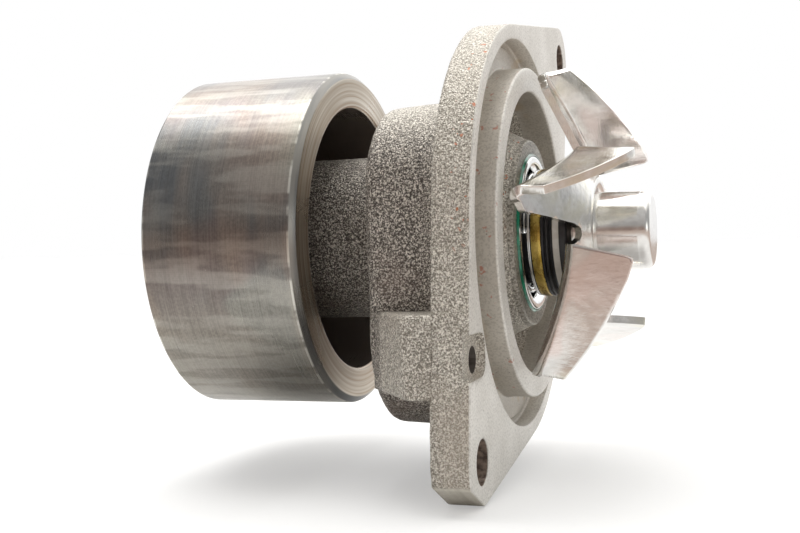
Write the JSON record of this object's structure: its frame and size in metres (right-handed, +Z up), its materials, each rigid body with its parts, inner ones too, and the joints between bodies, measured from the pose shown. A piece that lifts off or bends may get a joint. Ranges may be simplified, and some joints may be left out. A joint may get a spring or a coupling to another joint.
{
  "type": "water pump",
  "caption": "Engine coolant pump: cast iron flange housing, shaft bearing, face seal, stamped steel impeller with folded blades and a smooth belt pulley pressed on the shaft.",
  "frame": {"origin": "On the shaft axis, in the flange's machined mounting face.", "axes": "+X runs along the shaft from the pulley towards the impeller, +Z is up, and +Y follows from the right-hand rule."},
  "size_m": [0.0972, 0.1011, 0.0989],
  "materials": {
    "cast_iron": "sand cast, grey, machined on the mounting side",
    "pulley_steel": "turned and brushed, darkened by heat and handling",
    "ground_steel": "ground and polished",
    "bearing_steel": "hardened and ground",
    "sheet_steel": "stamped sheet, bright, lightly scratched",
    "cup_steel": "drawn stainless sheet",
    "brass": "drawn strip, satin",
    "black_rubber": "moulded nitrile",
    "green_sealant": "cured thread and flange sealant",
    "carbon": "resin-bound carbon, lapped face",
    "ceramic": "alumina, lapped",
    "cage_plastic": "glass-filled nylon"
  },
  "bodies": {
    "housing": {"pump_housing": "cast_iron", "bearing_outer_ring": "bearing_steel", "bearing_seal_front": "black_rubber", "bearing_seal_rear": "black_rubber", "seal_cup": "cup_steel", "sealant_bead": "green_sealant", "seal_bellows": "black_rubber", "seal_spring": "cup_steel", "spring_washer_rear": "cup_steel"},
    "rotor": {"shaft": "ground_steel", "belt_pulley": "pulley_steel", "impeller": "sheet_steel", "slinger": "black_rubber", "ceramic_seat": "ceramic", "seat_boot": "black_rubber"},
    "ball_set": {"ball_cage": "cage_plastic", "ball_1": "bearing_steel", "ball_2": "bearing_steel", "ball_3": "bearing_steel", "ball_4": "bearing_steel", "ball_5": "bearing_steel", "ball_6": "bearing_steel", "ball_7": "bearing_steel", "ball_8": "bearing_steel"},
    "roller_set": {"roller_cage": "cage_plastic", "roller_1": "bearing_steel", "roller_2": "bearing_steel", "roller_3": "bearing_steel", "roller_4": "bearing_steel", "roller_5": "bearing_steel", "roller_6": "bearing_steel", "roller_7": "bearing_steel", "roller_8": "bearing_steel", "roller_9": "bearing_steel", "roller_10": "bearing_steel"},
    "carbon_head": {"carbon_ring": "carbon", "drive_band": "brass", "spring_washer_front": "cup_steel"}
  },
  "joints": [
    {"name": "shaft_spin", "type": "hinge", "parent": "housing", "child": "rotor", "pos_m": [0, 0, 0], "axis": [1, 0, 0], "continuous": true},
    {"name": "ball_cage_spin", "type": "hinge", "parent": "housing", "child": "ball_set", "pos_m": [0, 0, 0], "axis": [1, 0, 0], "continuous": true},
    {"name": "roller_cage_spin", "type": "hinge", "parent": "housing", "child": "roller_set", "pos_m": [0, 0, 0], "axis": [1, 0, 0], "continuous": true},
    {"name": "carbon_slide", "type": "slide", "parent": "housing", "child": "carbon_head", "axis": [1, 0, 0], "range_m": [-0.0015, 0], "stiffness_N_per_m": 2000, "springref_m": 0.002, "deforming": ["seal_spring", "seal_bellows"]}
  ],
  "couplings": [
    {"joint": "ball_cage_spin", "follows": "shaft_spin", "ratio": 0.3644},
    {"joint": "roller_cage_spin", "follows": "shaft_spin", "ratio": 0.39349}
  ]
}
